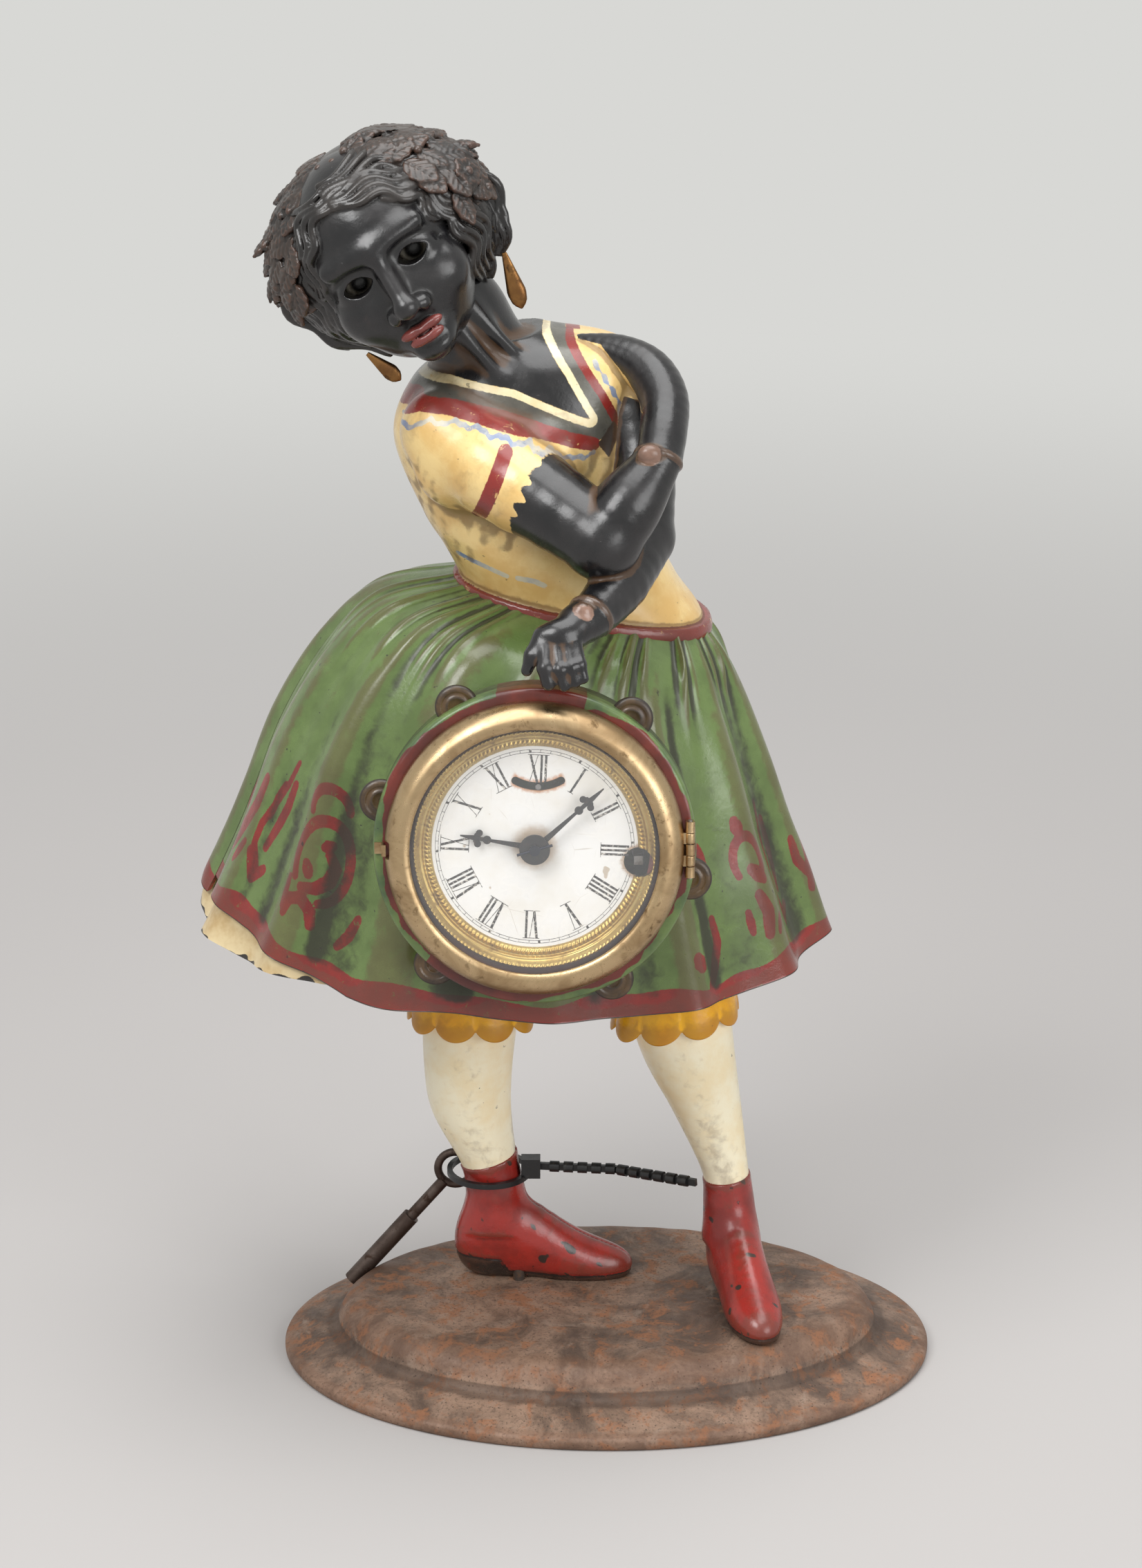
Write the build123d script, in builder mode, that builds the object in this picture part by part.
from build123d import *
from math import atan2, copysign, cos, degrees, hypot, pi, radians, sin
import os

os.makedirs("parts", exist_ok=True)

# Driving dimensions in millimetres. X is right, the front faces -Y, Z is up.
# The origin is under the middle of the whole outline, on the ground.
base_x = 14.0
base_width = 220.0
base_depth = 155.0
base_height = 20.5
rim_height = 4.2
base_wall = 4.0
seam_y = 14.0
casting_wall = 4.0
fold_count = 14
hem_arch_radius = 270.0
hem_middle_z = 155.5
hem_tilt = 3.0

# The clock sits in a tambourine that leans back against the skirt.
dial_x = base_x - 23.4
dial_y = -66.0
dial_z = 206.0
dial_lean = 7.0
drum_radius = 50.5
drum_front = 1.0
drum_back = -18.0
drum_bore = 29.0
dial_recess = 41.0
dial_radius = 33.0
dial_thickness = 0.8
bezel_radius = 46.8
bezel_height = 8.5
bezel_bore = 38.8
glass_radius = 41.0
glass_thickness = 1.4
ring_radius = 38.2
ring_bore = 32.2
ring_height = 5.0
hinge_x = 48.4
hinge_z = 3.4
hinge_radius = 1.5
hinge_length = 18.0
jingle_radius = 6.85
jingle_depth = -6.0
jingle_thickness = 2.6
jingle_angles = [-29, 37, 103, 151, 219, 286]

# Depths in the movement, measured from the dial face.
front_plate_z = -30.0
back_plate_z = -52.0
plate_thickness = 1.5
bridge_z = -66.0
wind_spot = (32.4, -4.7)
wind_hole = 4.6
great_teeth = 56
centre_pins = 14
train_module = [0.9354, 0.6, 0.5, 0.45]
wheel_teeth = 48
fourth_teeth = 45
pinion_pins = 6
third_spot = (-15.95, 2.81)
fourth_spot = (-14.8, 16.26)
escape_spot = (-15.8, 27.7)
lever_spot = (-9.4, 30.1)
balance_spot = (1.1, 33.9)
minute_spot = (6.0, -10.39)
pillar_spots = [(-27, -19), (4, -33), (-27, 24), (22, 28)]
bridge_feet = [(15, 40), (-27, 31)]
pivot_radius = 0.8
pivot_hole = 0.85
arbor_radius = 1.2

# The head leans towards the viewer's left.
head_centre = (base_x - 71.0, 8.0, 381.5)
head_lean = 33.0
eye_spread = 10.0
eye_depth = -17.0
eye_level = -3.0
eyeball_radius = 6.2
axle_radius = 1.0

# Fasteners that hold the castings.
screw_reach = 8.0
boss_radius = 5.6
casting_screw_radius = 1.9
casting_screw_length = 46.0
casting_screw_spots = [(-15.0, 312.0, 39.0), (-97.0, 190.0, 41.5), (45.0, 190.0, 33.0)]
screw_head_radius = 4.0
screw_head_height = 2.4
head_clearance = 0.5


from_end = (Align.CENTER, Align.CENTER, Align.MIN)
to_end = (Align.CENTER, Align.CENTER, Align.MAX)

# Planes, closed outlines and simple solids used again below.
dial_plane = Plane(
    origin=(dial_x, dial_y, dial_z),
    x_dir=(1, 0, 0),
    z_dir=(0, -cos(radians(dial_lean)), sin(radians(dial_lean))),
)
head_plane = Plane(
    origin=head_centre,
    x_dir=(cos(radians(head_lean)), 0, sin(radians(head_lean))),
    z_dir=(-sin(radians(head_lean)), 0, cos(radians(head_lean))),
)
dial_side = Plane(origin=dial_plane.origin, x_dir=dial_plane.x_dir, z_dir=-dial_plane.y_dir)
dial_axis = Axis(dial_plane.origin, dial_plane.z_dir)


def at_depth(depth):
    return dial_plane.offset(depth)


def body_section(left, right, front, back, fold=0.0, inset=0.0, squareness=2.2, count=16):
    left_x, left_z = left
    right_x, right_z = right
    angle = atan2(right_z - left_z, right_x - left_x)
    half = hypot(right_x - left_x, right_z - left_z) / 2 - inset
    middle = (base_x + (left_x + right_x) / 2, seam_y, (left_z + right_z) / 2)
    points = []
    for step in range(count):
        turn = 2 * pi * step / count
        depth = (back if sin(turn) > 0 else front) - inset
        x = half * copysign(abs(cos(turn)) ** (2 / squareness), cos(turn))
        y = depth * copysign(abs(sin(turn)) ** (2 / squareness), sin(turn))
        swell = 1 + fold * cos(fold_count * turn + 0.3) / hypot(x, y)
        points.append((x * swell, y * swell))
    tilt = Plane(origin=middle, x_dir=(cos(angle), 0, sin(angle)), z_dir=(-sin(angle), 0, cos(angle)))
    with BuildSketch(tilt) as section:
        with BuildLine():
            Spline(*points, periodic=True)
        make_face()
    return section.sketch


def round_section(centre, direction, half_wide, half_high, x_dir=None):
    middle = (base_x + centre[0], centre[1], centre[2])
    with BuildSketch(Plane(origin=middle, x_dir=x_dir, z_dir=direction)) as section:
        Ellipse(half_wide, half_high)
    return section.sketch


def limb(stations):
    sections = []
    for index, (x, y, z, half_wide, half_high) in enumerate(stations):
        before = stations[max(index - 1, 0)]
        after = stations[min(index + 1, len(stations) - 1)]
        direction = (after[0] - before[0], after[1] - before[1], after[2] - before[2])
        sections.append(round_section((x, y, z), direction, half_wide, half_high))
    with BuildPart() as solid:
        loft(sections)
    return solid.part


def upright_limb(stations):
    with BuildPart() as solid:
        loft([round_section((x, y, z), (0, 0, 1), wide, deep, (1, 0, 0)) for x, y, z, wide, deep in stations])
    return solid.part


def ball(x, y, z, radius):
    with BuildPart() as solid:
        with Locations((base_x + x, y, z)):
            Sphere(radius)
    return solid.part


def ellipsoid(x, y, z, half_wide, half_deep, half_high):
    with BuildPart() as solid:
        Sphere(1)
        scale(by=(half_wide, half_deep, half_high))
    return Pos(x, y, z) * solid.part


def head_ellipsoid(*sizes):
    return head_plane.location * ellipsoid(*sizes)


def toothed_disc(teeth, module, addendum, dedendum, root_share, tip_share):
    pitch_radius = teeth * module / 2
    outer = pitch_radius + addendum * module
    inner = pitch_radius - dedendum * module
    pitch = 2 * pi / teeth
    points = []
    for tooth in range(teeth):
        middle = tooth * pitch
        for radius, offset in (
            (inner, -root_share),
            (outer, -tip_share),
            (outer, tip_share),
            (inner, root_share),
        ):
            turn = middle + offset * pitch
            points.append((radius * cos(turn), radius * sin(turn)))
    return points


def train_wheel(teeth, module):
    return toothed_disc(teeth, module, 0.85, 1.25, 0.24, 0.09)


def motion_wheel(teeth, module):
    return toothed_disc(teeth, module, 0.75, 1.1, 0.27, 0.07)


def clock_polar(radius, turn):
    return (radius * sin(radians(turn)), radius * cos(radians(turn)))


def spiral(inner, pitch, half_turns, thickness):
    with BuildLine() as line:
        start = (inner, 0)
        for half in range(half_turns):
            reach = inner + pitch * (half + 1) / 2
            side = 1 if half % 2 == 0 else -1
            end = (-side * reach, 0)
            middle = ((start[0] + end[0]) / 2, side * abs(start[0] - end[0]) / 2)
            ThreePointArc(start, middle, end)
            start = end
    with BuildSketch() as ribbon:
        trace(line.line, thickness)
    return ribbon.sketch


# Base: a stepped oval iron foot, hollow underneath.
def base_outline(inset, height):
    with BuildSketch(Plane(origin=(base_x, 0, height))) as outline:
        Ellipse(base_width / 2 - inset, base_depth / 2 - inset)
    return outline.sketch


plateau_inset = 28.0
screw_spots = [(base_x - 30.0, 9.0), (base_x + 45.0, -8.0)]
screw_radius = 2.0
screw_fit = 0.05

with BuildPart() as base:
    loft([base_outline(0, 0), base_outline(0, rim_height)])
    loft([base_outline(0.6, rim_height), base_outline(9.5, 7.4), base_outline(17.5, 9.6)])
    loft(
        [
            base_outline(17.5, 9.6),
            base_outline(19.5, 13.0),
            base_outline(22.5, 17.6),
            base_outline(plateau_inset, base_height),
        ]
    )
    loft(
        [base_outline(base_wall, 0), base_outline(base_wall + 15, 5.5)],
        mode=Mode.SUBTRACT,
    )
    loft(
        [base_outline(base_wall + 18, 5.4), base_outline(plateau_inset + 2, base_height - base_wall)],
        mode=Mode.SUBTRACT,
    )
    with Locations([(x, y, base_height) for x, y in screw_spots]):
        Cylinder(screw_radius + screw_fit, 2 * base_wall + 2, mode=Mode.SUBTRACT)
base.part.label = "base"
export_step(base.part, "parts/base.step")

# Base screws: pan heads under the top of the base, shanks up into the boots.
with BuildPart() as base_screws:
    with Locations([(x, y, base_height - base_wall) for x, y in screw_spots]):
        Cylinder(screw_head_radius, screw_head_height, align=to_end)
        Cylinder(screw_radius, base_wall + screw_reach, align=from_end)
base_screws.part.label = "base_screws"
export_step(base_screws.part, "parts/base_screws.step")

# Figure: skirt and bodice sections as left edge, right edge, front depth, back depth, fold height.
skirt_stations = [
    ((-49, 272), (32, 255), 31, 30, 0.0),
    ((-75.5, 266), (38, 245), 47, 38, 0.8),
    ((-93, 249), (43, 232), 56, 42, 1.5),
    ((-108, 224), (51, 209), 63, 46, 2.0),
    ((-118, 198), (57, 190), 67, 48, 2.4),
    ((-125, 181), (63, 174), 70, 50, 2.7),
    ((-134.5, 161), (71, 150), 73, 52, 3.0),
    ((-146, 139), (81, 128), 76, 54, 3.2),
]
bodice_stations = [
    ((-46, 262), (30, 246), 29, 28),
    ((-48.5, 273), (31, 258), 30, 29),
    ((-60, 294), (27, 286), 32, 30),
    ((-69, 318), (21, 316), 31, 29),
    ((-63, 336), (8, 346), 25, 24),
    ((-50, 347), (-20, 354), 16, 16),
]
belt_stations = [
    ((-50.5, 267), (34, 250), 32.5, 31.5),
    ((-51, 272), (34, 255.5), 33, 32),
    ((-50.5, 277), (33.5, 261), 32.5, 31.5),
]
neck_stations = [(-37, 12, 342, 15, 15), (-48, 10, 358, 14.5, 14.5), (-61, 8, 376, 14, 14)]
left_leg_stations = [
    (-46, 11, 172, 19, 17),
    (-45, 9, 132, 20, 18),
    (-45, 9, 118, 20.4, 18.5),
]
left_calf_stations = [
    (-45.5, 10, 120, 16, 15),
    (-46.8, 12, 100, 15, 14.5),
    (-45.9, 13.5, 82, 13.5, 13),
    (-38.6, 14, 60, 9.4, 9.4),
    (-38.0, 14, 54, 9.6, 9.4),
    (-39.0, 14, 40, 10.5, 9),
]
right_leg_stations = [
    (18, 8, 172, 19, 17),
    (22.6, 6, 132, 20, 18),
    (22.8, 6, 118, 20.4, 18.5),
]
right_calf_stations = [
    (25.5, 6, 120, 15.8, 15),
    (29, 6, 104, 14, 13.5),
    (34, 5.5, 86, 11.2, 11.5),
    (40.5, 4, 64, 7.8, 8.5),
    (42, 2.5, 40, 9, 10),
]
left_foot_stations = [
    (-48.5, 14, 36, 6.0, 11.5),
    (-40, 14, 37, 8.6, 18),
    (-27, 14, 34, 8.8, 14),
    (-12, 14, 27, 9.2, 11),
    (-2, 14, 24, 7.6, 8),
    (3, 14, 23, 4.5, 4.5),
]
right_foot_heel = (41.0, 9.0)
right_foot_toe = (51.0, -36.0)
upper_arms = [
    [(-50, -8, 322, 13, 13), (-28, -22, 311, 14, 14), (-3, -38, 298, 12, 12)],
    [(4, 6, 340, 14, 14), (13, -2, 322, 12.5, 12.5), (17, -16, 301, 10.5, 10.5)],
]
elbows = [(-2, -38.5, 297, 12.4), (17, -17, 300, 10.9)]
forearms = [
    [
        (-2, -38, 297, 11.5, 11.5),
        (6, -36, 310, 10, 10),
        (13, -31, 323, 7.8, 7.8),
        (14, -24, 338, 8.5, 6),
    ],
    [
        (17, -17, 300, 10, 10),
        (5, -34, 289, 9, 9),
        (-8, -49, 279, 7.5, 7.5),
        (-17, -57, 271, 8.5, 6),
        (-20, -64, 262, 7, 4),
    ],
]

right_run = (right_foot_toe[0] - right_foot_heel[0], right_foot_toe[1] - right_foot_heel[1])
right_foot_stations = []
for share, height, half_wide, half_high in (
    (0.0, 34, 5.5, 10.0),
    (0.2, 36, 8.4, 17.5),
    (0.5, 31, 8.6, 13.0),
    (0.78, 26, 9.0, 10.0),
    (0.94, 24, 7.0, 7.5),
    (1.0, 23, 4.5, 4.5),
):
    right_foot_stations.append(
        (
            right_foot_heel[0] + share * right_run[0],
            right_foot_heel[1] + share * right_run[1],
            height,
            half_wide,
            half_high,
        )
    )


def foot(stations, direction):
    flat = (direction[0], direction[1], 0)
    across = (-direction[1], direction[0], 0)
    sections = []
    for x, y, z, half_wide, half_high in stations:
        sections.append(round_section((x, y, z), flat, half_wide, half_high, across))
    with BuildPart() as solid:
        loft(sections)
    return solid.part


with BuildPart() as skirt_outer:
    loft([body_section(*station, squareness=2.2, count=4 * fold_count) for station in skirt_stations])
with BuildPart() as skirt_inner:
    loft([body_section(*station[:4], inset=casting_wall) for station in skirt_stations])
with BuildPart() as bodice_outer:
    loft([body_section(*station) for station in bodice_stations])
with BuildPart() as bodice_inner:
    loft([body_section(*station, inset=casting_wall) for station in bodice_stations[:5]])
with BuildPart() as belt:
    loft([body_section(*station) for station in belt_stations])
neck_inner = [(x, y, z, wide - casting_wall, deep - casting_wall) for x, y, z, wide, deep in neck_stations]
neck_inner[0] = (-33, 13, 336, 11, 11)

face_half = (25.5, 26.0, 32.0)
face_spot = (0, -8, -4)
nose_sizes = (0, -33, -12, 3.8, 5.5, 8.0)
lips_sizes = (0, -30.5, -24, 7.5, 3.6, 3.4)
hair_half = (36.5, 31.0, 33.5)
hair_spot = (0, 4, 2)
cavity_sizes = (0, -6, -2, 21.0, 22.0, 26.0)
head_cavity = head_ellipsoid(*cavity_sizes)
hair_cavity_sizes = (0, 8, 4, 28.0, 22.0, 26.0)
hair_cavity = head_ellipsoid(*hair_cavity_sizes)
head_solids = [
    head_ellipsoid(*face_spot, *face_half),
    head_ellipsoid(*hair_spot, *hair_half),
    head_ellipsoid(*nose_sizes),
    head_ellipsoid(*lips_sizes),
]
wreath_radius = 34.0
wreath_half = (4.4, 5.6)
wreath_spot = (0, 2, 14)
wreath_tip = -12.0
with BuildPart() as wreath:
    with BuildSketch(Plane.XZ):
        with Locations((wreath_radius, 0)):
            Ellipse(*wreath_half)
    revolve(axis=Axis.Z)
wreath_solid = head_plane.location * Pos(*wreath_spot) * Rot(wreath_tip, 0, 0) * wreath.part

# Hem cutter: an arch across the skirt, tilted down to the right.
hem_plane = Plane(
    origin=(base_x - 31, seam_y, hem_middle_z - hem_arch_radius),
    x_dir=(0, 1, 0),
    z_dir=(cos(radians(hem_tilt)), 0, -sin(radians(hem_tilt))),
)
with BuildPart() as hem_cutter:
    with BuildSketch(hem_plane):
        Circle(hem_arch_radius)
    extrude(amount=200, both=True)

# Cross rib: joins the legs to the skirt walls inside the figure.
rib_depth = 6.0
rib_low = 152.0
rib_high = 170.0
with BuildPart() as cross_rib:
    with Locations((base_x - 31, seam_y, (rib_low + rib_high) / 2)):
        Box(300, 2 * rib_depth, rib_high - rib_low)
rib = cross_rib.part & skirt_outer.part

# Tambourine drum with its jingles, cast on the front of the skirt.
with BuildPart() as drum:
    with BuildSketch(at_depth(drum_back)):
        Circle(drum_radius)
    extrude(amount=drum_front - drum_back)
    with BuildSketch(at_depth(jingle_depth)):
        with Locations([clock_polar(drum_radius, angle) for angle in jingle_angles]):
            Circle(jingle_radius)
    extrude(amount=jingle_thickness)

# Openings in the castings.
wind_bore_gap = 0.4
eye_hole_half = (5.2, 2.9)
shoulder_hole_radius = 1.3
with BuildPart() as bores:
    with BuildSketch(at_depth(drum_back - 12)):
        Circle(drum_bore)
        with Locations(wind_spot):
            Circle(wind_hole + wind_bore_gap)
    extrude(amount=40)
    with BuildSketch(at_depth(-dial_thickness)):
        Circle(dial_recess)
    extrude(amount=10)
with BuildPart() as eye_holes:
    with BuildSketch(Plane(head_plane.origin, x_dir=head_plane.x_dir, z_dir=(0, -1, 0))):
        with Locations((eye_spread, eye_level), (-eye_spread, eye_level)):
            Ellipse(*eye_hole_half)
    extrude(amount=50)
with BuildPart() as shoulder_hole:
    with Locations(Location((base_x + 10.0, -20.0, 338.0), (90, 0, 0))):
        Cylinder(shoulder_hole_radius, 80)


def half_of(solid, side):
    with BuildPart() as half:
        add(solid, clean=False)
        with Locations((base_x, seam_y, 0)):
            Box(500, 300, 1000, align=(Align.CENTER, side, Align.CENTER), mode=Mode.INTERSECT)
    return half.part


front_side = Align.MAX
back_side = Align.MIN

with BuildPart() as upper_body:
    add([bodice_outer.part, belt.part, limb(neck_stations), wreath_solid] + head_solids, clean=False)
with BuildPart() as arms:
    add([limb(arm) for arm in upper_arms + forearms] + [ball(*elbow) for elbow in elbows], clean=False)
with BuildPart() as hollow:
    add([skirt_inner.part, bodice_inner.part, limb(neck_inner), head_cavity, hair_cavity], clean=False)
with BuildPart() as legs:
    add(upright_limb(left_leg_stations), clean=False)
    add(upright_limb(left_calf_stations), clean=False)
    add(foot(left_foot_stations, (1, 0)), clean=False)
    add(upright_limb(right_leg_stations), clean=False)
    add(upright_limb(right_calf_stations), clean=False)
    add(foot(right_foot_stations, right_run), clean=False)
    with Locations((base_x, 0, base_height)):
        Box(300, 300, 40, align=(Align.CENTER, Align.CENTER, Align.MAX), mode=Mode.SUBTRACT)
    with Locations([(x, y, base_height) for x, y in screw_spots]):
        Cylinder(screw_radius + screw_fit, 2 * screw_reach, mode=Mode.SUBTRACT)

# Screw bosses: the back casting is drawn to the front one by three screws.
with BuildPart() as bosses:
    with Locations([Location((base_x + x, 0, z), (90, 0, 0)) for x, z, seat in casting_screw_spots]):
        Cylinder(boss_radius, 160)
with BuildPart() as boss_core:
    add([skirt_outer.part, bodice_outer.part], clean=False)
    add(bosses.part, mode=Mode.INTERSECT, clean=False)
with BuildPart() as boss_holes:
    for x, z, seat in casting_screw_spots:
        with Locations(Location((base_x + x, seat, z), (90, 0, 0))):
            Cylinder(casting_screw_radius + screw_fit, casting_screw_length, align=from_end)
        with Locations(Location((base_x + x, seat, z), (-90, 0, 0))):
            Cylinder(screw_head_radius + head_clearance, 40, align=from_end)

with BuildPart() as front_casting:
    add(half_of(skirt_outer.part, front_side), clean=False)
    add([half_of(upper_body.part, front_side), half_of(arms.part, front_side)], clean=False)
    add(hollow.part, mode=Mode.SUBTRACT, clean=False)
    add([half_of(rib, front_side), half_of(boss_core.part, front_side)], clean=False)
    add(hem_cutter.part, mode=Mode.SUBTRACT, clean=False)
    add([drum.part, half_of(legs.part, front_side)], clean=False)
    add([bores.part, eye_holes.part, shoulder_hole.part, boss_holes.part], mode=Mode.SUBTRACT, clean=False)
front_casting.part.label = "front_casting"
export_step(front_casting.part, "parts/front_casting.step")

with BuildPart() as back_casting:
    add(half_of(skirt_outer.part, back_side), clean=False)
    add(half_of(upper_body.part, back_side), clean=False)
    add(hollow.part, mode=Mode.SUBTRACT, clean=False)
    add([half_of(rib, back_side), half_of(boss_core.part, back_side)], clean=False)
    add(hem_cutter.part, mode=Mode.SUBTRACT, clean=False)
    add(half_of(legs.part, back_side), clean=False)
    add(boss_holes.part, mode=Mode.SUBTRACT, clean=False)
back_casting.part.label = "back_casting"
export_step(back_casting.part, "parts/back_casting.step")

# Casting screws: pan heads sunk in the back, shanks through the bosses.
with BuildPart() as casting_screws:
    for x, z, seat in casting_screw_spots:
        with Locations(Location((base_x + x, seat, z), (90, 0, 0))):
            Cylinder(casting_screw_radius, casting_screw_length - 1, align=from_end)
        with Locations(Location((base_x + x, seat, z), (-90, 0, 0))):
            Cylinder(screw_head_radius, screw_head_height, align=from_end)
casting_screws.part.label = "casting_screws"
export_step(casting_screws.part, "parts/casting_screws.step")


# Helpers for pieces on the clock's own plane. They work inside an open part.
def disc(spot, low, high, radius, mode=Mode.ADD):
    with BuildSketch(at_depth(low)) as outline:
        with Locations(spot):
            Circle(radius)
    extrude(outline.sketch, amount=high - low, mode=mode)


def toothed(spot, span, points, turn):
    low, high = span
    with BuildSketch(at_depth(low)) as outline:
        with Locations(Location((spot[0], spot[1], 0), (0, 0, turn))):
            Polygon(*points, align=None)
    extrude(outline.sketch, amount=high - low)


def bar(start, end, width, span):
    low, high = span
    with BuildSketch(at_depth(low)) as outline:
        with BuildLine() as middle:
            Line(start, end)
        trace(middle.line, width)
    extrude(outline.sketch, amount=high - low)


def bearing(start, end):
    return degrees(atan2(end[1] - start[1], end[0] - start[0]))


def lantern(spot, span, pins, module, towards):
    low, high = span
    turn = bearing(spot, towards) + 180 / pins
    radius = pins * module / 2
    pin_radius = pin_share * pi * module / 2
    for flange in (low, high - flange_thickness):
        disc(spot, flange, flange + flange_thickness, radius + 2 * pin_radius)
    with BuildSketch(at_depth(low)) as outline:
        with Locations(spot):
            with PolarLocations(radius, pins, start_angle=turn):
                Circle(pin_radius)
    extrude(outline.sketch, amount=high - low)


pin_share = 0.40
flange_thickness = 0.6
centre_spot = (0.0, 0.0)

# Dial: a thin enamelled plate with its arbor hole, winding hole and regulator slot.
slot_radius = 14.6
slot_sweep = 58.0
slot_width = 2.6
with BuildPart() as dial:
    with BuildSketch(at_depth(-dial_thickness)):
        Circle(dial_radius)
        Circle(3.1, mode=Mode.SUBTRACT)
        with Locations(wind_spot):
            Circle(wind_hole, mode=Mode.SUBTRACT)
        with BuildLine() as slot_line:
            slot_arc = CenterArc(balance_spot, slot_radius, 270 - slot_sweep / 2, slot_sweep)
        SlotArc(slot_arc, slot_width, mode=Mode.SUBTRACT)
    extrude(amount=dial_thickness)
dial.part.label = "dial"
export_step(dial.part, "parts/dial.step")

# Dial ring: the gilt stepped ring between dial and bezel.
with BuildPart() as dial_ring:
    with BuildSketch(dial_side):
        with BuildLine():
            Polyline(
                (ring_bore, 0),
                (dial_radius + 0.1, 0),
                (dial_radius + 0.1, -dial_thickness),
                (ring_radius, -dial_thickness),
                (ring_radius, ring_height - 0.4),
                (ring_radius - 1.4, ring_height),
                (ring_radius - 2.8, ring_height / 2),
                (ring_radius - 4.0, ring_height / 2 - 0.4),
                (ring_bore, 0.9),
                close=True,
            )
        make_face()
    revolve(axis=dial_axis)
    disc(wind_spot, -2, ring_height + 2, wind_hole, Mode.SUBTRACT)
dial_ring.part.label = "dial_ring"
export_step(dial_ring.part, "parts/dial_ring.step")

# Bezel: a cast brass ring with a notch for the catch and two hinge knuckles.
glass_front = 7.6
glass_fit = 0.05
knuckle_count = 5
knuckle_gap = 0.15
knuckle_step = hinge_length / knuckle_count
notch_width = 5.2
catch_x = -bezel_radius
catch_sides = (-1.8, 1.8)
catch_top = drum_front + 4.6


def knuckle(index):
    low = -hinge_length / 2 + index * knuckle_step + knuckle_gap / 2
    flat = Plane(
        origin=dial_plane.from_local_coords((hinge_x, low, hinge_z)),
        x_dir=dial_plane.x_dir,
        z_dir=dial_plane.y_dir,
    )
    with BuildSketch(flat) as outline:
        Circle(hinge_radius)
        Circle(hinge_pin_radius + 0.05, mode=Mode.SUBTRACT)
    extrude(outline.sketch, amount=knuckle_step - knuckle_gap)


def local_box(x_range, y_range, z_range, mode=Mode.ADD):
    with BuildSketch(at_depth(z_range[0])) as outline:
        with Locations(((x_range[0] + x_range[1]) / 2, (y_range[0] + y_range[1]) / 2)):
            Rectangle(x_range[1] - x_range[0], y_range[1] - y_range[0])
    extrude(outline.sketch, amount=z_range[1] - z_range[0], mode=mode)


def knuckle_span(index):
    low = -hinge_length / 2 + index * knuckle_step + knuckle_gap / 2
    return (low, low + knuckle_step - knuckle_gap)


hinge_pin_radius = 0.7
with BuildPart() as bezel:
    with BuildSketch(dial_side):
        with BuildLine():
            Polyline(
                (glass_radius + glass_fit, drum_front),
                (bezel_radius, drum_front),
                (bezel_radius, drum_front + 2.2),
                (bezel_radius - 1.2, drum_front + 5.6),
                (bezel_radius - 3.6, drum_front + bezel_height - 0.6),
                (bezel_radius - 6.2, drum_front + bezel_height),
                (bezel_bore, drum_front + bezel_height - 0.9),
                (bezel_bore, glass_front),
                (glass_radius + glass_fit, glass_front),
                close=True,
            )
        make_face()
    revolve(axis=dial_axis)
    notch_sides = (-notch_width / 2, notch_width / 2)
    local_box((catch_x - 2, catch_x + 1.6), notch_sides, (0, 12), Mode.SUBTRACT)
    for index in (1, 3):
        knuckle(index)
        wing_z = (hinge_z - 0.4, hinge_z + 0.6)
        local_box((bezel_radius - 1.4, hinge_x - 1.0), knuckle_span(index), wing_z)
bezel.part.label = "bezel"
export_step(bezel.part, "parts/bezel.step")

with BuildPart() as bezel_glass:
    disc(centre_spot, glass_front - glass_thickness, glass_front, glass_radius)
bezel_glass.part.label = "bezel_glass"
export_step(bezel_glass.part, "parts/bezel_glass.step")

# Hinge leaf: fixed to the tambourine, with its three knuckles and the pin.
with BuildPart() as hinge_leaf:
    leaf_sides = (-hinge_length / 2, hinge_length / 2)
    local_box((hinge_x - 1.2, hinge_x + 1.2), leaf_sides, (drum_front, drum_front + 0.5))
    for index in (0, 2, 4):
        knuckle(index)
        local_box((hinge_x - 0.6, hinge_x + 0.8), knuckle_span(index), (drum_front, hinge_z - 0.75))
hinge_leaf.part.label = "hinge_leaf"
export_step(hinge_leaf.part, "parts/hinge_leaf.step")

hinge_end = Plane(
    origin=dial_plane.from_local_coords((hinge_x, -hinge_length / 2 - 0.4, hinge_z)),
    x_dir=dial_plane.x_dir,
    z_dir=dial_plane.y_dir,
)
with BuildPart() as hinge_pin:
    with BuildSketch(hinge_end):
        Circle(hinge_pin_radius)
    extrude(amount=hinge_length + 0.8)
hinge_pin.part.label = "hinge_pin"
export_step(hinge_pin.part, "parts/hinge_pin.step")

# Bezel catch: a bent spring clip on the tambourine, standing in the bezel's notch.
with BuildPart() as bezel_catch:
    local_box((catch_x - 3.2, catch_x - 0.3), catch_sides, (drum_front, drum_front + 0.7))
    local_box((catch_x - 0.9, catch_x - 0.3), catch_sides, (drum_front, catch_top))
    local_box((catch_x - 0.9, catch_x + 0.5), catch_sides, (catch_top - 0.6, catch_top))
bezel_catch.part.label = "bezel_catch"
export_step(bezel_catch.part, "parts/bezel_catch.step")


# Hands: tapered arms with a cross near the tip, set as in the photograph.
def hand_outline(plane, length, hub, hole):
    cross = 0.8 * length
    with BuildSketch(plane) as outline:
        with BuildLine():
            Polyline(
                (-1.1, 0),
                (-0.7, cross - 3.4),
                (-2.6, cross - 0.9),
                (-2.6, cross + 0.9),
                (-0.7, cross + 2.0),
                (-0.25, length),
                (0.25, length),
                (0.7, cross + 2.0),
                (2.6, cross + 0.9),
                (2.6, cross - 0.9),
                (0.7, cross - 3.4),
                (1.1, 0),
                close=True,
            )
        make_face()
        Circle(hub)
        Circle(hole, mode=Mode.SUBTRACT)
    extrude(outline.sketch, amount=hand_thickness)


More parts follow.
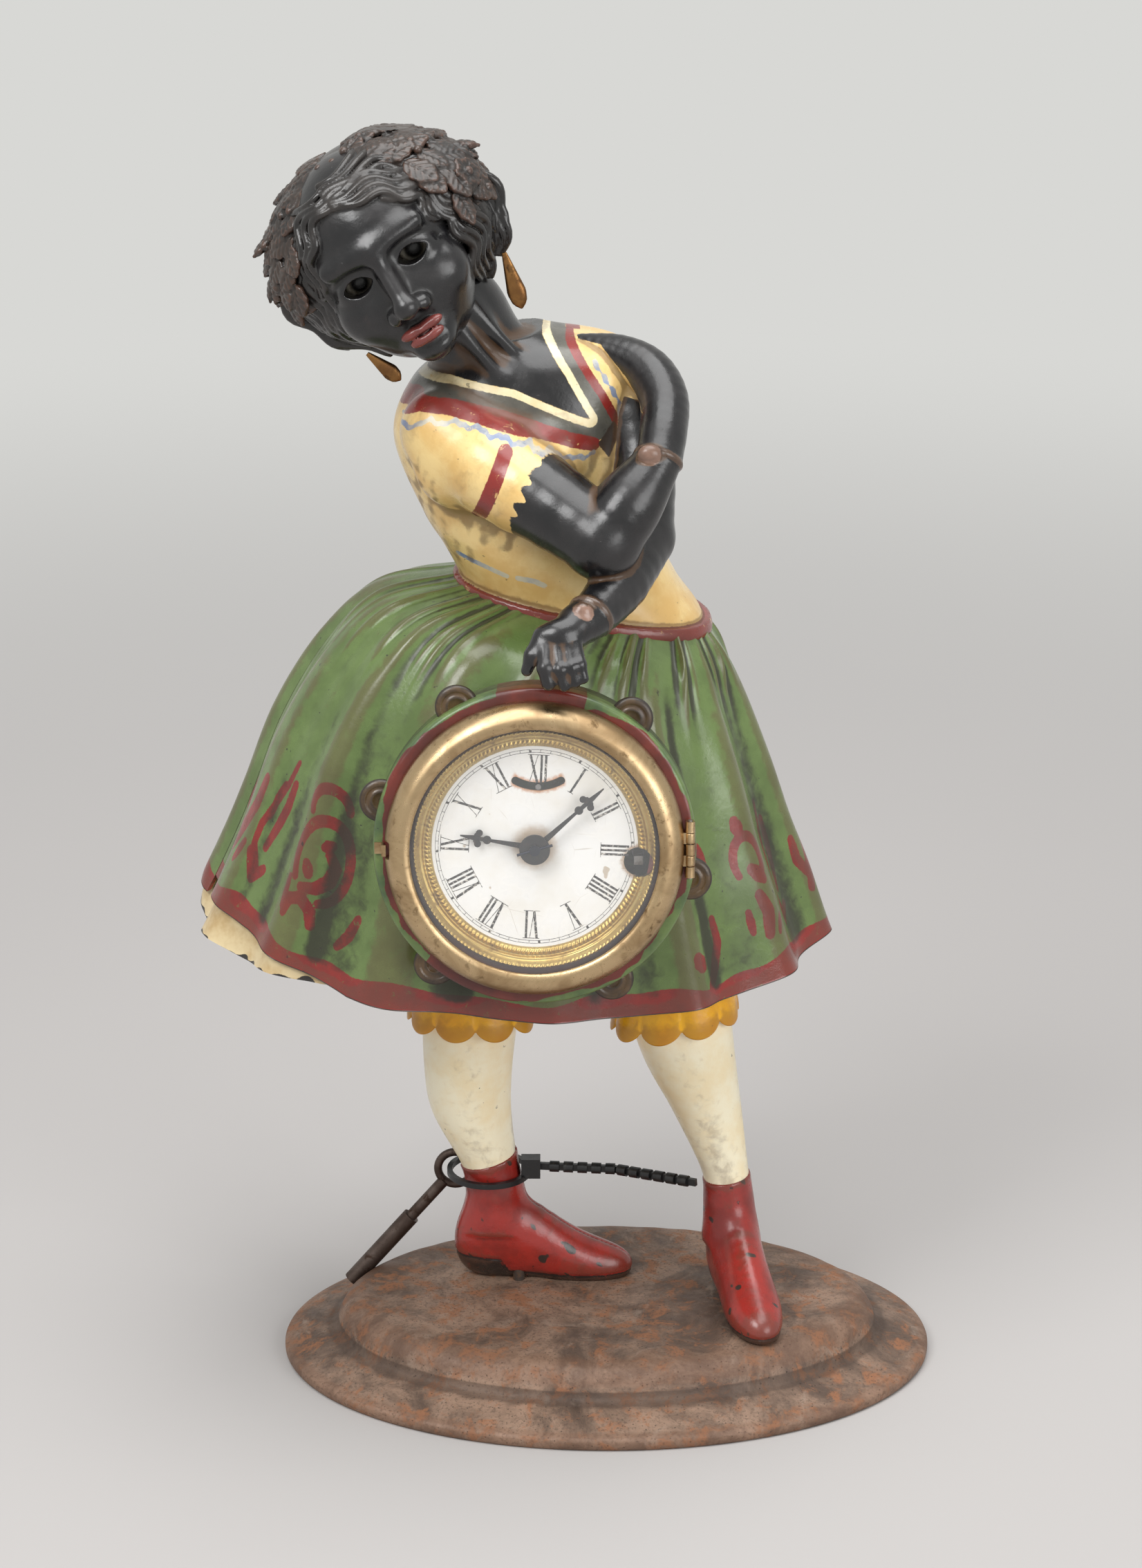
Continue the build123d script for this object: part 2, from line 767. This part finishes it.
def clock_plane(level, angle):
    turn = radians(angle)
    pointing = dial_plane.x_dir * cos(turn) - dial_plane.y_dir * sin(turn)
    return Plane(origin=at_depth(level).origin, x_dir=pointing, z_dir=dial_plane.z_dir)


hand_thickness = 0.6
minute_length = 28.9
hour_length = 23.6
minute_angle = 48.0
hour_angle = 280.0
minute_level = 3.0
hour_level = 1.4
pipe_radius = 2.8
cannon_radius = 1.7
running_fit = 0.08

with BuildPart() as hour_hand:
    hand_outline(clock_plane(hour_level, hour_angle), hour_length, 4.2, pipe_radius)
hour_hand.part.label = "hour_hand"
export_step(hour_hand.part, "parts/hour_hand.step")

with BuildPart() as minute_hand:
    hand_outline(clock_plane(minute_level, minute_angle), minute_length, 3.6, cannon_radius)
minute_hand.part.label = "minute_hand"
export_step(minute_hand.part, "parts/minute_hand.step")

collet_top = minute_level + hand_thickness + 0.8
collet_radius = 4.8
pin_radius = 0.45
with BuildPart() as hand_collet:
    disc(centre_spot, minute_level + hand_thickness, collet_top, collet_radius)
    disc(centre_spot, minute_level, collet_top + 1, cannon_radius, Mode.SUBTRACT)
hand_collet.part.label = "hand_collet"
export_step(hand_collet.part, "parts/hand_collet.step")

pin_plane = Plane(
    origin=dial_plane.from_local_coords((-5.5, -1.6, collet_top + pin_radius)),
    x_dir=dial_plane.z_dir,
    z_dir=dial_plane.from_local_coords((5.5, 1.6, 0)) - dial_plane.from_local_coords((0, 0, 0)),
)
with BuildPart() as taper_pin:
    with BuildSketch(pin_plane):
        Circle(pin_radius)
    extrude(amount=11.5)
taper_pin.part.label = "taper_pin"
export_step(taper_pin.part, "parts/taper_pin.step")

# Motion work between the dial and the front plate.
cannon_teeth = 12
minute_teeth = 36
minute_leaves = 10
hour_teeth = 40
motion_module = 0.5
hour_module = 0.48
cannon_span = (-28.6, -25.4)
hour_span = (-24.4, -23.2)
minute_span = (-27.6, -26.4)
minute_pinion_span = (-26.5, -22.6)
minute_stud_top = -22.2
centre_top = -19.4
to_minute = bearing(centre_spot, minute_spot)
from_minute = bearing(minute_spot, centre_spot)

with BuildPart() as cannon_pinion:
    toothed(centre_spot, cannon_span, motion_wheel(cannon_teeth, motion_module), to_minute)
    disc(centre_spot, cannon_span[1] - 0.2, collet_top + 1.3, cannon_radius)
    disc(centre_spot, cannon_span[0] - 0.4, centre_top + 0.4, arbor_radius + running_fit, Mode.SUBTRACT)
    add(taper_pin.part, mode=Mode.SUBTRACT)
cannon_pinion.part.label = "cannon_pinion"
export_step(cannon_pinion.part, "parts/cannon_pinion.step")

with BuildPart() as hour_wheel:
    toothed(centre_spot, hour_span, motion_wheel(hour_teeth, hour_module), to_minute)
    disc(centre_spot, hour_span[0], hour_level + hand_thickness + 0.3, pipe_radius)
    disc(centre_spot, hour_span[0] - 0.6, minute_level, cannon_radius + running_fit, Mode.SUBTRACT)
hour_wheel.part.label = "hour_wheel"
export_step(hour_wheel.part, "parts/hour_wheel.step")

with BuildPart() as minute_wheel:
    wheel_points = motion_wheel(minute_teeth, motion_module)
    pinion_points = motion_wheel(minute_leaves, hour_module)
    toothed(minute_spot, minute_span, wheel_points, from_minute + 180 / minute_teeth)
    toothed(minute_spot, minute_pinion_span, pinion_points, from_minute + 180 / minute_leaves)
    disc(minute_spot, minute_span[0] - 0.4, minute_stud_top, pivot_radius + running_fit, Mode.SUBTRACT)
minute_wheel.part.label = "minute_wheel"
export_step(minute_wheel.part, "parts/minute_wheel.step")

# Movement plates, held apart by four pillars and nutted at the back.
plate_spots = pillar_spots + [wind_spot, third_spot, escape_spot, balance_spot]
plate_margin = 5.5
wind_radius = 2.0
pillar_radius = 2.5
tenon_radius = 1.5
tenon_fit = 0.05


def plate(low, spots, holes):
    with BuildSketch(at_depth(low)) as outline:
        with Locations(spots):
            Circle(plate_margin)
        make_hull()
        for spot, radius in holes:
            with Locations(spot):
                Circle(radius, mode=Mode.SUBTRACT)
    extrude(outline.sketch, amount=plate_thickness)


pillar_holes = [(spot, tenon_radius + tenon_fit) for spot in pillar_spots]
front_holes = [
    (centre_spot, arbor_radius + running_fit),
    (wind_spot, wind_radius + running_fit),
    (third_spot, pivot_hole),
    (fourth_spot, pivot_hole),
    (escape_spot, pivot_hole),
]
back_holes = [
    (centre_spot, pivot_hole),
    (wind_spot, wind_radius + running_fit),
    (third_spot, pivot_hole),
    (fourth_spot, pivot_hole),
    (escape_spot, arbor_radius + running_fit),
    (lever_spot, pivot_hole),
    (balance_spot, pivot_hole),
]
plate_back = front_plate_z - plate_thickness
rear_face = back_plate_z - plate_thickness

with BuildPart() as front_plate:
    plate(plate_back, plate_spots, front_holes + pillar_holes)
    disc(minute_spot, front_plate_z - 0.5, minute_stud_top, pivot_radius)
    disc(balance_spot, front_plate_z - 0.5, front_plate_z + 3.0, arbor_radius)
front_plate.part.label = "front_plate"
export_step(front_plate.part, "parts/front_plate.step")

with BuildPart() as back_plate:
    plate(rear_face, plate_spots + bridge_feet, back_holes + pillar_holes)
back_plate.part.label = "back_plate"
export_step(back_plate.part, "parts/back_plate.step")

nut_height = 2.0
with BuildPart() as pillars:
    for spot in pillar_spots:
        disc(spot, back_plate_z, plate_back, pillar_radius)
        disc(spot, rear_face - nut_height, back_plate_z, tenon_radius)
        disc(spot, plate_back, front_plate_z, tenon_radius)
pillars.part.label = "pillars"
export_step(pillars.part, "parts/pillars.step")

with BuildPart() as movement_feet:
    for spot in pillar_spots:
        disc(spot, front_plate_z, drum_back, pillar_radius)
    add(skirt_inner.part, mode=Mode.INTERSECT)
movement_feet.part.label = "movement_feet"
export_step(movement_feet.part, "parts/movement_feet.step")

with BuildPart() as plate_nuts:
    with BuildSketch(at_depth(rear_face - nut_height)):
        with Locations(pillar_spots):
            RegularPolygon(3.2, 6)
            Circle(tenon_radius + tenon_fit, mode=Mode.SUBTRACT)
    extrude(amount=nut_height)
plate_nuts.part.label = "plate_nuts"
export_step(plate_nuts.part, "parts/plate_nuts.step")

# Winding arbor with its ratchet, great wheel, click and mainspring.
arbor_end = -1.5
square_start = -14.0
square_side = 2.8
ratchet_teeth = 20
ratchet_radius = 7.0
ratchet_span = (-48.0, -46.8)
great_span = (-50.4, -48.6)
mainspring_span = (-45.6, -35.6)
with BuildPart() as winding_arbor:
    disc(wind_spot, rear_face + 0.2, square_start, wind_radius)
    with BuildSketch(at_depth(square_start - 0.2)):
        with Locations(wind_spot):
            Rectangle(square_side, square_side)
    extrude(amount=arbor_end - square_start + 0.2)
winding_arbor.part.label = "winding_arbor"
export_step(winding_arbor.part, "parts/winding_arbor.step")

ratchet_points = []
for tooth in range(ratchet_teeth):
    for radius, share in ((ratchet_radius, 0.0), (ratchet_radius - 1.1, 0.12)):
        turn = 2 * pi * (tooth + share) / ratchet_teeth
        ratchet_points.append((radius * cos(turn), radius * sin(turn)))
with BuildPart() as ratchet:
    toothed(wind_spot, ratchet_span, ratchet_points, 0)
    disc(wind_spot, *ratchet_span, wind_radius, Mode.SUBTRACT)
ratchet.part.label = "ratchet"
export_step(ratchet.part, "parts/ratchet.step")

with BuildPart() as great_wheel:
    great_points = train_wheel(great_teeth, train_module[0])
    toothed(wind_spot, great_span, great_points, bearing(wind_spot, centre_spot))
    disc(wind_spot, *great_span, wind_radius + running_fit, Mode.SUBTRACT)
great_wheel.part.label = "great_wheel"
export_step(great_wheel.part, "parts/great_wheel.step")

click_spot = (wind_spot[0] - 3.0, wind_spot[1] + 12.0)
click_tip = (wind_spot[0] - 5.6, wind_spot[1] + 5.4)
with BuildPart() as click:
    disc(click_spot, great_span[1], ratchet_span[1], 1.8)
    bar(click_spot, click_tip, 1.2, ratchet_span)
click.part.label = "click"
export_step(click.part, "parts/click.step")

click_spring_foot = (wind_spot[0] - 6.0, wind_spot[1] + 16.0)
click_spring_tip = (wind_spot[0] - 6.6, wind_spot[1] + 8.0)
with BuildPart() as click_spring:
    bar(click_spring_foot, click_spring_tip, 0.5, (great_span[1], ratchet_span[1] - 0.4))
click_spring.part.label = "click_spring"
export_step(click_spring.part, "parts/click_spring.step")

spring_inner = 3.2
spring_pitch = 2.2
spring_half_turns = 12
spring_thickness = 0.5
spring_end = 240.0
spring_ribbon = spiral(spring_inner, spring_pitch, spring_half_turns, spring_thickness)
spring_place = at_depth(mainspring_span[0]).location * Pos(*wind_spot, 0) * Rot(0, 0, spring_end)
with BuildPart() as mainspring:
    extrude(spring_place * spring_ribbon, amount=mainspring_span[1] - mainspring_span[0])
mainspring.part.label = "mainspring"
export_step(mainspring.part, "parts/mainspring.step")

stud_radius = 1.3
spring_outer = spring_inner + (spring_pitch * spring_half_turns + spring_thickness) / 2
stud_reach = spring_outer + stud_radius + 0.1
stud_turn = radians(spring_end)
with BuildPart() as spring_stud:
    disc(
        (wind_spot[0] + stud_reach * cos(stud_turn), wind_spot[1] + stud_reach * sin(stud_turn)),
        mainspring_span[0] - 0.4,
        plate_back,
        stud_radius,
    )
spring_stud.part.label = "spring_stud"
export_step(spring_stud.part, "parts/spring_stud.step")


# Train: each arbor carries a toothed wheel and a lantern pinion.
def arbor(spot, low, high):
    disc(spot, low, high, pivot_radius)
    disc(spot, back_plate_z + 0.2, plate_back - 0.2, arbor_radius)


def waist(spot, span):
    disc(spot, span[0], span[1], arbor_radius + waist_relief, Mode.SUBTRACT)
    disc(spot, span[0], span[1], waist_radius)


waist_radius = 0.9
waist_relief = 0.1
centre_span = (-34.2, -33.2)
centre_lantern_span = (-51.6, -47.4)
third_span = (-41.0, -40.0)
third_lantern_span = (-35.6, -31.9)
fourth_span = (-46.6, -45.8)
fourth_lantern_span = (-42.4, -38.6)
escape_span = (-57.0, -56.0)
escape_lantern_span = (-48.0, -44.4)
escape_arbor_end = -64.0
pivot_start = rear_face + 0.2
pivot_end = front_plate_z - 0.2
bridge_pivot = bridge_z - plate_thickness + 0.2

with BuildPart() as centre_wheel:
    disc(centre_spot, pivot_start, back_plate_z + 0.3, pivot_radius)
    disc(centre_spot, back_plate_z + 0.2, centre_top, arbor_radius)
    centre_points = train_wheel(wheel_teeth, train_module[1])
    toothed(centre_spot, centre_span, centre_points, bearing(centre_spot, third_spot))
    lantern(centre_spot, centre_lantern_span, centre_pins, train_module[0], wind_spot)
centre_wheel.part.label = "centre_wheel"
export_step(centre_wheel.part, "parts/centre_wheel.step")

with BuildPart() as third_wheel:
    arbor(third_spot, pivot_start, pivot_end)
    third_points = train_wheel(wheel_teeth, train_module[2])
    toothed(third_spot, third_span, third_points, bearing(third_spot, fourth_spot))
    lantern(third_spot, third_lantern_span, pinion_pins, train_module[1], centre_spot)
third_wheel.part.label = "third_wheel"
export_step(third_wheel.part, "parts/third_wheel.step")

with BuildPart() as fourth_wheel:
    arbor(fourth_spot, pivot_start, pivot_end)
    waist(fourth_spot, fourth_lantern_span)
    fourth_points = train_wheel(fourth_teeth, train_module[3])
    toothed(fourth_spot, fourth_span, fourth_points, bearing(fourth_spot, escape_spot))
    lantern(fourth_spot, fourth_lantern_span, pinion_pins, train_module[2], third_spot)
fourth_wheel.part.label = "fourth_wheel"
export_step(fourth_wheel.part, "parts/fourth_wheel.step")

escape_teeth = 15
escape_radius = 4.2
escape_points = []
for tooth in range(escape_teeth):
    for radius, share in ((escape_radius, 0.0), (escape_radius - 1.3, 0.3)):
        turn = 2 * pi * (tooth + share) / escape_teeth
        escape_points.append((radius * cos(turn), radius * sin(turn)))
with BuildPart() as escape_wheel:
    disc(escape_spot, plate_back - 0.2, pivot_end, pivot_radius)
    disc(escape_spot, escape_arbor_end, plate_back - 0.2, arbor_radius)
    disc(escape_spot, bridge_pivot, escape_arbor_end + 0.2, pivot_radius)
    waist(escape_spot, escape_lantern_span)
    toothed(escape_spot, escape_span, escape_points, 0)
    lantern(escape_spot, escape_lantern_span, pinion_pins, train_module[3], fourth_spot)
escape_wheel.part.label = "escape_wheel"
export_step(escape_wheel.part, "parts/escape_wheel.step")

# Escapement behind the back plate: lever with its eye arm, balance, spring and bridge.
fork_reach = 8.2
pallet_reach = 4.6
pallet_spread = 55.0
eye_arm = 8.0
eye_arm_rise = 2.4
eye_arm_span = (-60.2, -58.6)
lever_width = 1.0
to_balance = radians(bearing(lever_spot, balance_spot))
with BuildPart() as lever:
    disc(lever_spot, bridge_pivot, rear_face + 1.2, pivot_radius)
    disc(lever_spot, eye_arm_span[0] - 0.2, escape_span[1] + 0.4, arbor_radius)
    fork = (lever_spot[0] + fork_reach * cos(to_balance), lever_spot[1] + fork_reach * sin(to_balance))
    bar(lever_spot, fork, lever_width, escape_span)
    for side in (-1, 1):
        turn = to_balance + pi + side * radians(pallet_spread)
        tip = (lever_spot[0] + pallet_reach * cos(turn), lever_spot[1] + pallet_reach * sin(turn))
        bar(lever_spot, tip, lever_width, escape_span)
    bar(lever_spot, (lever_spot[0] - eye_arm, lever_spot[1] + eye_arm_rise), 1.6, eye_arm_span)
lever.part.label = "lever"
export_step(lever.part, "parts/lever.step")

balance_radius = 9.5
balance_rim = 1.6
balance_span = (-62.6, -61.2)
roller_radius = 2.0
with BuildPart() as balance:
    disc(balance_spot, bridge_pivot, rear_face + 1.2, pivot_radius)
    disc(balance_spot, *balance_span, balance_radius)
    disc(balance_spot, *balance_span, balance_radius - balance_rim, Mode.SUBTRACT)
    rim_reach = balance_radius - balance_rim / 2
    left_end = (balance_spot[0] - rim_reach, balance_spot[1])
    right_end = (balance_spot[0] + rim_reach, balance_spot[1])
    bar(left_end, right_end, 1.8, balance_span)
    disc(balance_spot, balance_span[0] - 1.4, balance_span[1] + 1.2, balance_rim)
    disc(balance_spot, *escape_span, roller_radius)
    disc(balance_spot, bridge_z + 0.2, rear_face - 0.3, pivot_radius)
balance.part.label = "balance"
export_step(balance.part, "parts/balance.step")

hair_inner = 1.4
hair_pitch = 0.9
hair_half_turns = 8
hair_thickness = 0.25
hair_height = 0.8
hair_level = -59.4
hair_place = at_depth(hair_level).location * Pos(*balance_spot, 0)
hair_ribbon = spiral(hair_inner, hair_pitch, hair_half_turns, hair_thickness)
with BuildPart() as hairspring:
    extrude(hair_place * hair_ribbon, amount=hair_height)
hairspring.part.label = "hairspring"
export_step(hairspring.part, "parts/hairspring.step")

hair_outer = hair_inner + (hair_pitch * hair_half_turns + hair_thickness) / 2
hair_stud_radius = 0.6
hair_stud_x = balance_spot[0] + hair_outer + hair_stud_radius + 0.1
with BuildPart() as hairspring_stud:
    disc((hair_stud_x, balance_spot[1]), hair_level - 0.2, rear_face, hair_stud_radius)
hairspring_stud.part.label = "hairspring_stud"
export_step(hairspring_stud.part, "parts/hairspring_stud.step")

bridge_margin = 3.6
bridge_screw_radius = 1.15
bridge_screw_depth = 6.0
bridge_spots = bridge_feet + [balance_spot, lever_spot, escape_spot]
with BuildPart() as balance_bridge:
    with BuildSketch(at_depth(bridge_z - plate_thickness)):
        with Locations(bridge_spots):
            Circle(bridge_margin)
        make_hull()
        with Locations(balance_spot, lever_spot, escape_spot):
            Circle(pivot_hole, mode=Mode.SUBTRACT)
    extrude(amount=plate_thickness)
    for spot in bridge_feet:
        disc(spot, bridge_z - 0.5, rear_face, pillar_radius)
    for spot in bridge_feet:
        hole_end = bridge_z + bridge_screw_depth + tenon_fit
        disc(spot, bridge_z - 2, hole_end, bridge_screw_radius + tenon_fit, Mode.SUBTRACT)
balance_bridge.part.label = "balance_bridge"
export_step(balance_bridge.part, "parts/balance_bridge.step")

with BuildPart() as bridge_screws:
    for spot in bridge_feet:
        disc(spot, bridge_z - plate_thickness - 1.2, bridge_z - plate_thickness, 2.2)
        disc(spot, bridge_z - plate_thickness, bridge_z + bridge_screw_depth, bridge_screw_radius)
bridge_screws.part.label = "bridge_screws"
export_step(bridge_screws.part, "parts/bridge_screws.step")

# Regulator: turns on a stud of the front plate, its tip standing in the dial slot.
regulator_span = (front_plate_z + 0.3, front_plate_z + 1.5)
regulator_tip = (balance_spot[0], balance_spot[1] - slot_radius)
with BuildPart() as regulator:
    disc(balance_spot, *regulator_span, 3.0)
    bar(balance_spot, regulator_tip, 2.0, regulator_span)
    disc(balance_spot, front_plate_z, front_plate_z + 4, arbor_radius + running_fit, Mode.SUBTRACT)
    disc(regulator_tip, regulator_span[0], 0.8, 0.9)
regulator.part.label = "regulator"
export_step(regulator.part, "parts/regulator.step")

# Eyes: two dark balls on one axle, rocked from below by a wire from the lever.
crank_length = 8.5
crank_thickness = 2.0
crank_width = 2.4
with BuildPart(head_plane) as eye_rocker:
    with Locations(Location((0, eye_depth, eye_level), (0, 90, 0))):
        Cylinder(axle_radius, 2 * eye_spread)
    with Locations((eye_spread, eye_depth, eye_level), (-eye_spread, eye_depth, eye_level)):
        Sphere(eyeball_radius)
    with Locations((0, eye_depth, eye_level)):
        Box(crank_width, crank_length, crank_thickness, align=(Align.CENTER, Align.MIN, Align.CENTER))
eye_rocker.part.label = "eye_rocker"
export_step(eye_rocker.part, "parts/eye_rocker.step")

with BuildPart(head_plane) as eye_bracket:
    with Locations((0, eye_depth, eye_level - 2.5)):
        Box(6.4, 4.4, 40, align=from_end)
    with Locations((0, eye_depth, eye_level - 5)):
        Box(crank_width + 0.8, 6, 10, align=from_end, mode=Mode.SUBTRACT)
    with Locations(Location((0, eye_depth, eye_level), (0, 90, 0))):
        Cylinder(axle_radius + running_fit, 10, mode=Mode.SUBTRACT)
    add(ellipsoid(*cavity_sizes), mode=Mode.INTERSECT)
eye_bracket.part.label = "eye_bracket"
export_step(eye_bracket.part, "parts/eye_bracket.step")

wire_radius = 0.8
bend_radius = 0.85
wire_gap = 0.6
wire_lift = 1.45
crank_foot = (0, eye_depth + crank_length - 1.2, eye_level - crank_thickness / 2 - wire_gap)
wire_top = head_plane.from_local_coords(crank_foot)
wire_share = (eye_arm - 0.4) / eye_arm
wire_x = lever_spot[0] - wire_share * eye_arm
wire_y = lever_spot[1] + wire_share * eye_arm_rise
arm_end = dial_plane.from_local_coords((wire_x, wire_y, (eye_arm_span[0] + eye_arm_span[1]) / 2))
wire_points = [
    (arm_end.X, arm_end.Y, arm_end.Z + wire_lift),
    (arm_end.X, arm_end.Y, arm_end.Z + 7),
    (base_x - 30, 6, 268),
    (base_x - 36, 9, 322),
    (base_x - 45, 9, 346),
    (wire_top.X + 6, wire_top.Y + 3, wire_top.Z - 10),
    (wire_top.X, wire_top.Y, wire_top.Z),
]
with BuildPart() as eye_wire:
    for start, end in zip(wire_points, wire_points[1:]):
        run = Vector(*end) - Vector(*start)
        with BuildSketch(Plane(origin=start, z_dir=run)) as wire_section:
            Circle(wire_radius)
        extrude(wire_section.sketch, amount=run.length)
    with Locations(wire_points[1:-1]):
        Sphere(bend_radius)
eye_wire.part.label = "eye_wire"
export_step(eye_wire.part, "parts/eye_wire.step")

guide_z = 300.0
guide_share = (guide_z - wire_points[2][2]) / (wire_points[3][2] - wire_points[2][2])
guide_x = wire_points[2][0] + guide_share * (wire_points[3][0] - wire_points[2][0])
guide_y = wire_points[2][1] + guide_share * (wire_points[3][1] - wire_points[2][1])
with BuildPart() as wire_guide:
    with Locations((guide_x, guide_y + 4, guide_z)):
        Box(8, 60, 1.6, align=(Align.CENTER, Align.MAX, Align.CENTER))
    add(bodice_inner.part, mode=Mode.INTERSECT)
    with Locations((guide_x, guide_y, guide_z)):
        Cylinder(wire_radius + 0.6, 6, mode=Mode.SUBTRACT)
wire_guide.part.label = "wire_guide"
export_step(wire_guide.part, "parts/wire_guide.step")

# Tie: a moulded beaded strap looped round the left ankle, with its stiff tail.
tie_centre = (base_x - 40.1, 15.9, 58.0)
tie_radius = 13.5
tie_thickness = 1.7
tie_width = 1.9
tail_points = [(base_x - 27.2, 12.0, 61.5), (base_x + 2.5, 9.0, 61.5), (base_x + 30.0, -7.5, 64.0)]
tie_head_spot = (base_x - 25.8, 11.0, 61.5)
tie_head_size = (6.5, 5.0, 7.0)
strap_size = (2.4, 1.4)
bead_count = 11
bead_radius = 1.9
bead_length = 3.2
with BuildLine() as tail:
    Polyline(*tail_points)
with BuildPart() as key_tie:
    with Locations(tie_centre):
        Cylinder(tie_radius + tie_thickness / 2, tie_width)
        Cylinder(tie_radius - tie_thickness / 2, tie_width, mode=Mode.SUBTRACT)
    for start, end in zip(tail_points, tail_points[1:]):
        run = Vector(*end) - Vector(*start)
        with BuildSketch(Plane(origin=start, x_dir=(0, 0, 1), z_dir=run)) as strap:
            Rectangle(*strap_size)
        extrude(strap.sketch, amount=run.length)
    for bead in range(bead_count):
        share = (bead + 2) / (bead_count + 2)
        with BuildSketch(Plane(origin=tail.line @ share, z_dir=tail.line % share)) as bead_section:
            Circle(bead_radius)
        extrude(bead_section.sketch, amount=bead_length / 2, both=True)
    with Locations(tie_head_spot):
        Box(*tie_head_size)
key_tie.part.label = "key_tie"
export_step(key_tie.part, "parts/key_tie.step")

# Key: hangs by its wire bow from the tie, its barrel leaning on the base.
bow_radius = 6.0
bow_wire = 2.8
bow_centre = (base_x - 51.8, 22.65, tie_centre[2] - 2.4)
key_tip = (base_x - 88.0, 22.65, 13.2)
key_run = Vector(*key_tip) - Vector(*bow_centre)
key_length = key_run.length
barrel_radius = 2.95
barrel_length = 32.0
key_shank_radius = 2.0
key_socket = 12.0
key_plane = Plane(origin=bow_centre, x_dir=(0, 1, 0), z_dir=key_run)
with BuildPart() as key:
    with Locations(Location(bow_centre, (90, 0, 0))):
        Torus(bow_radius, bow_wire / 2)
    with BuildSketch(key_plane.offset(bow_radius)):
        Circle(key_shank_radius)
    extrude(amount=key_length - bow_radius - barrel_length + 1)
    with BuildSketch(key_plane.offset(key_length - barrel_length)):
        Circle(barrel_radius)
    extrude(amount=barrel_length)
    with BuildSketch(key_plane.offset(key_length - key_socket)):
        Rectangle(square_side + 0.2, square_side + 0.2)
    extrude(amount=key_socket, mode=Mode.SUBTRACT)
key.part.label = "key"
export_step(key.part, "parts/key.step")
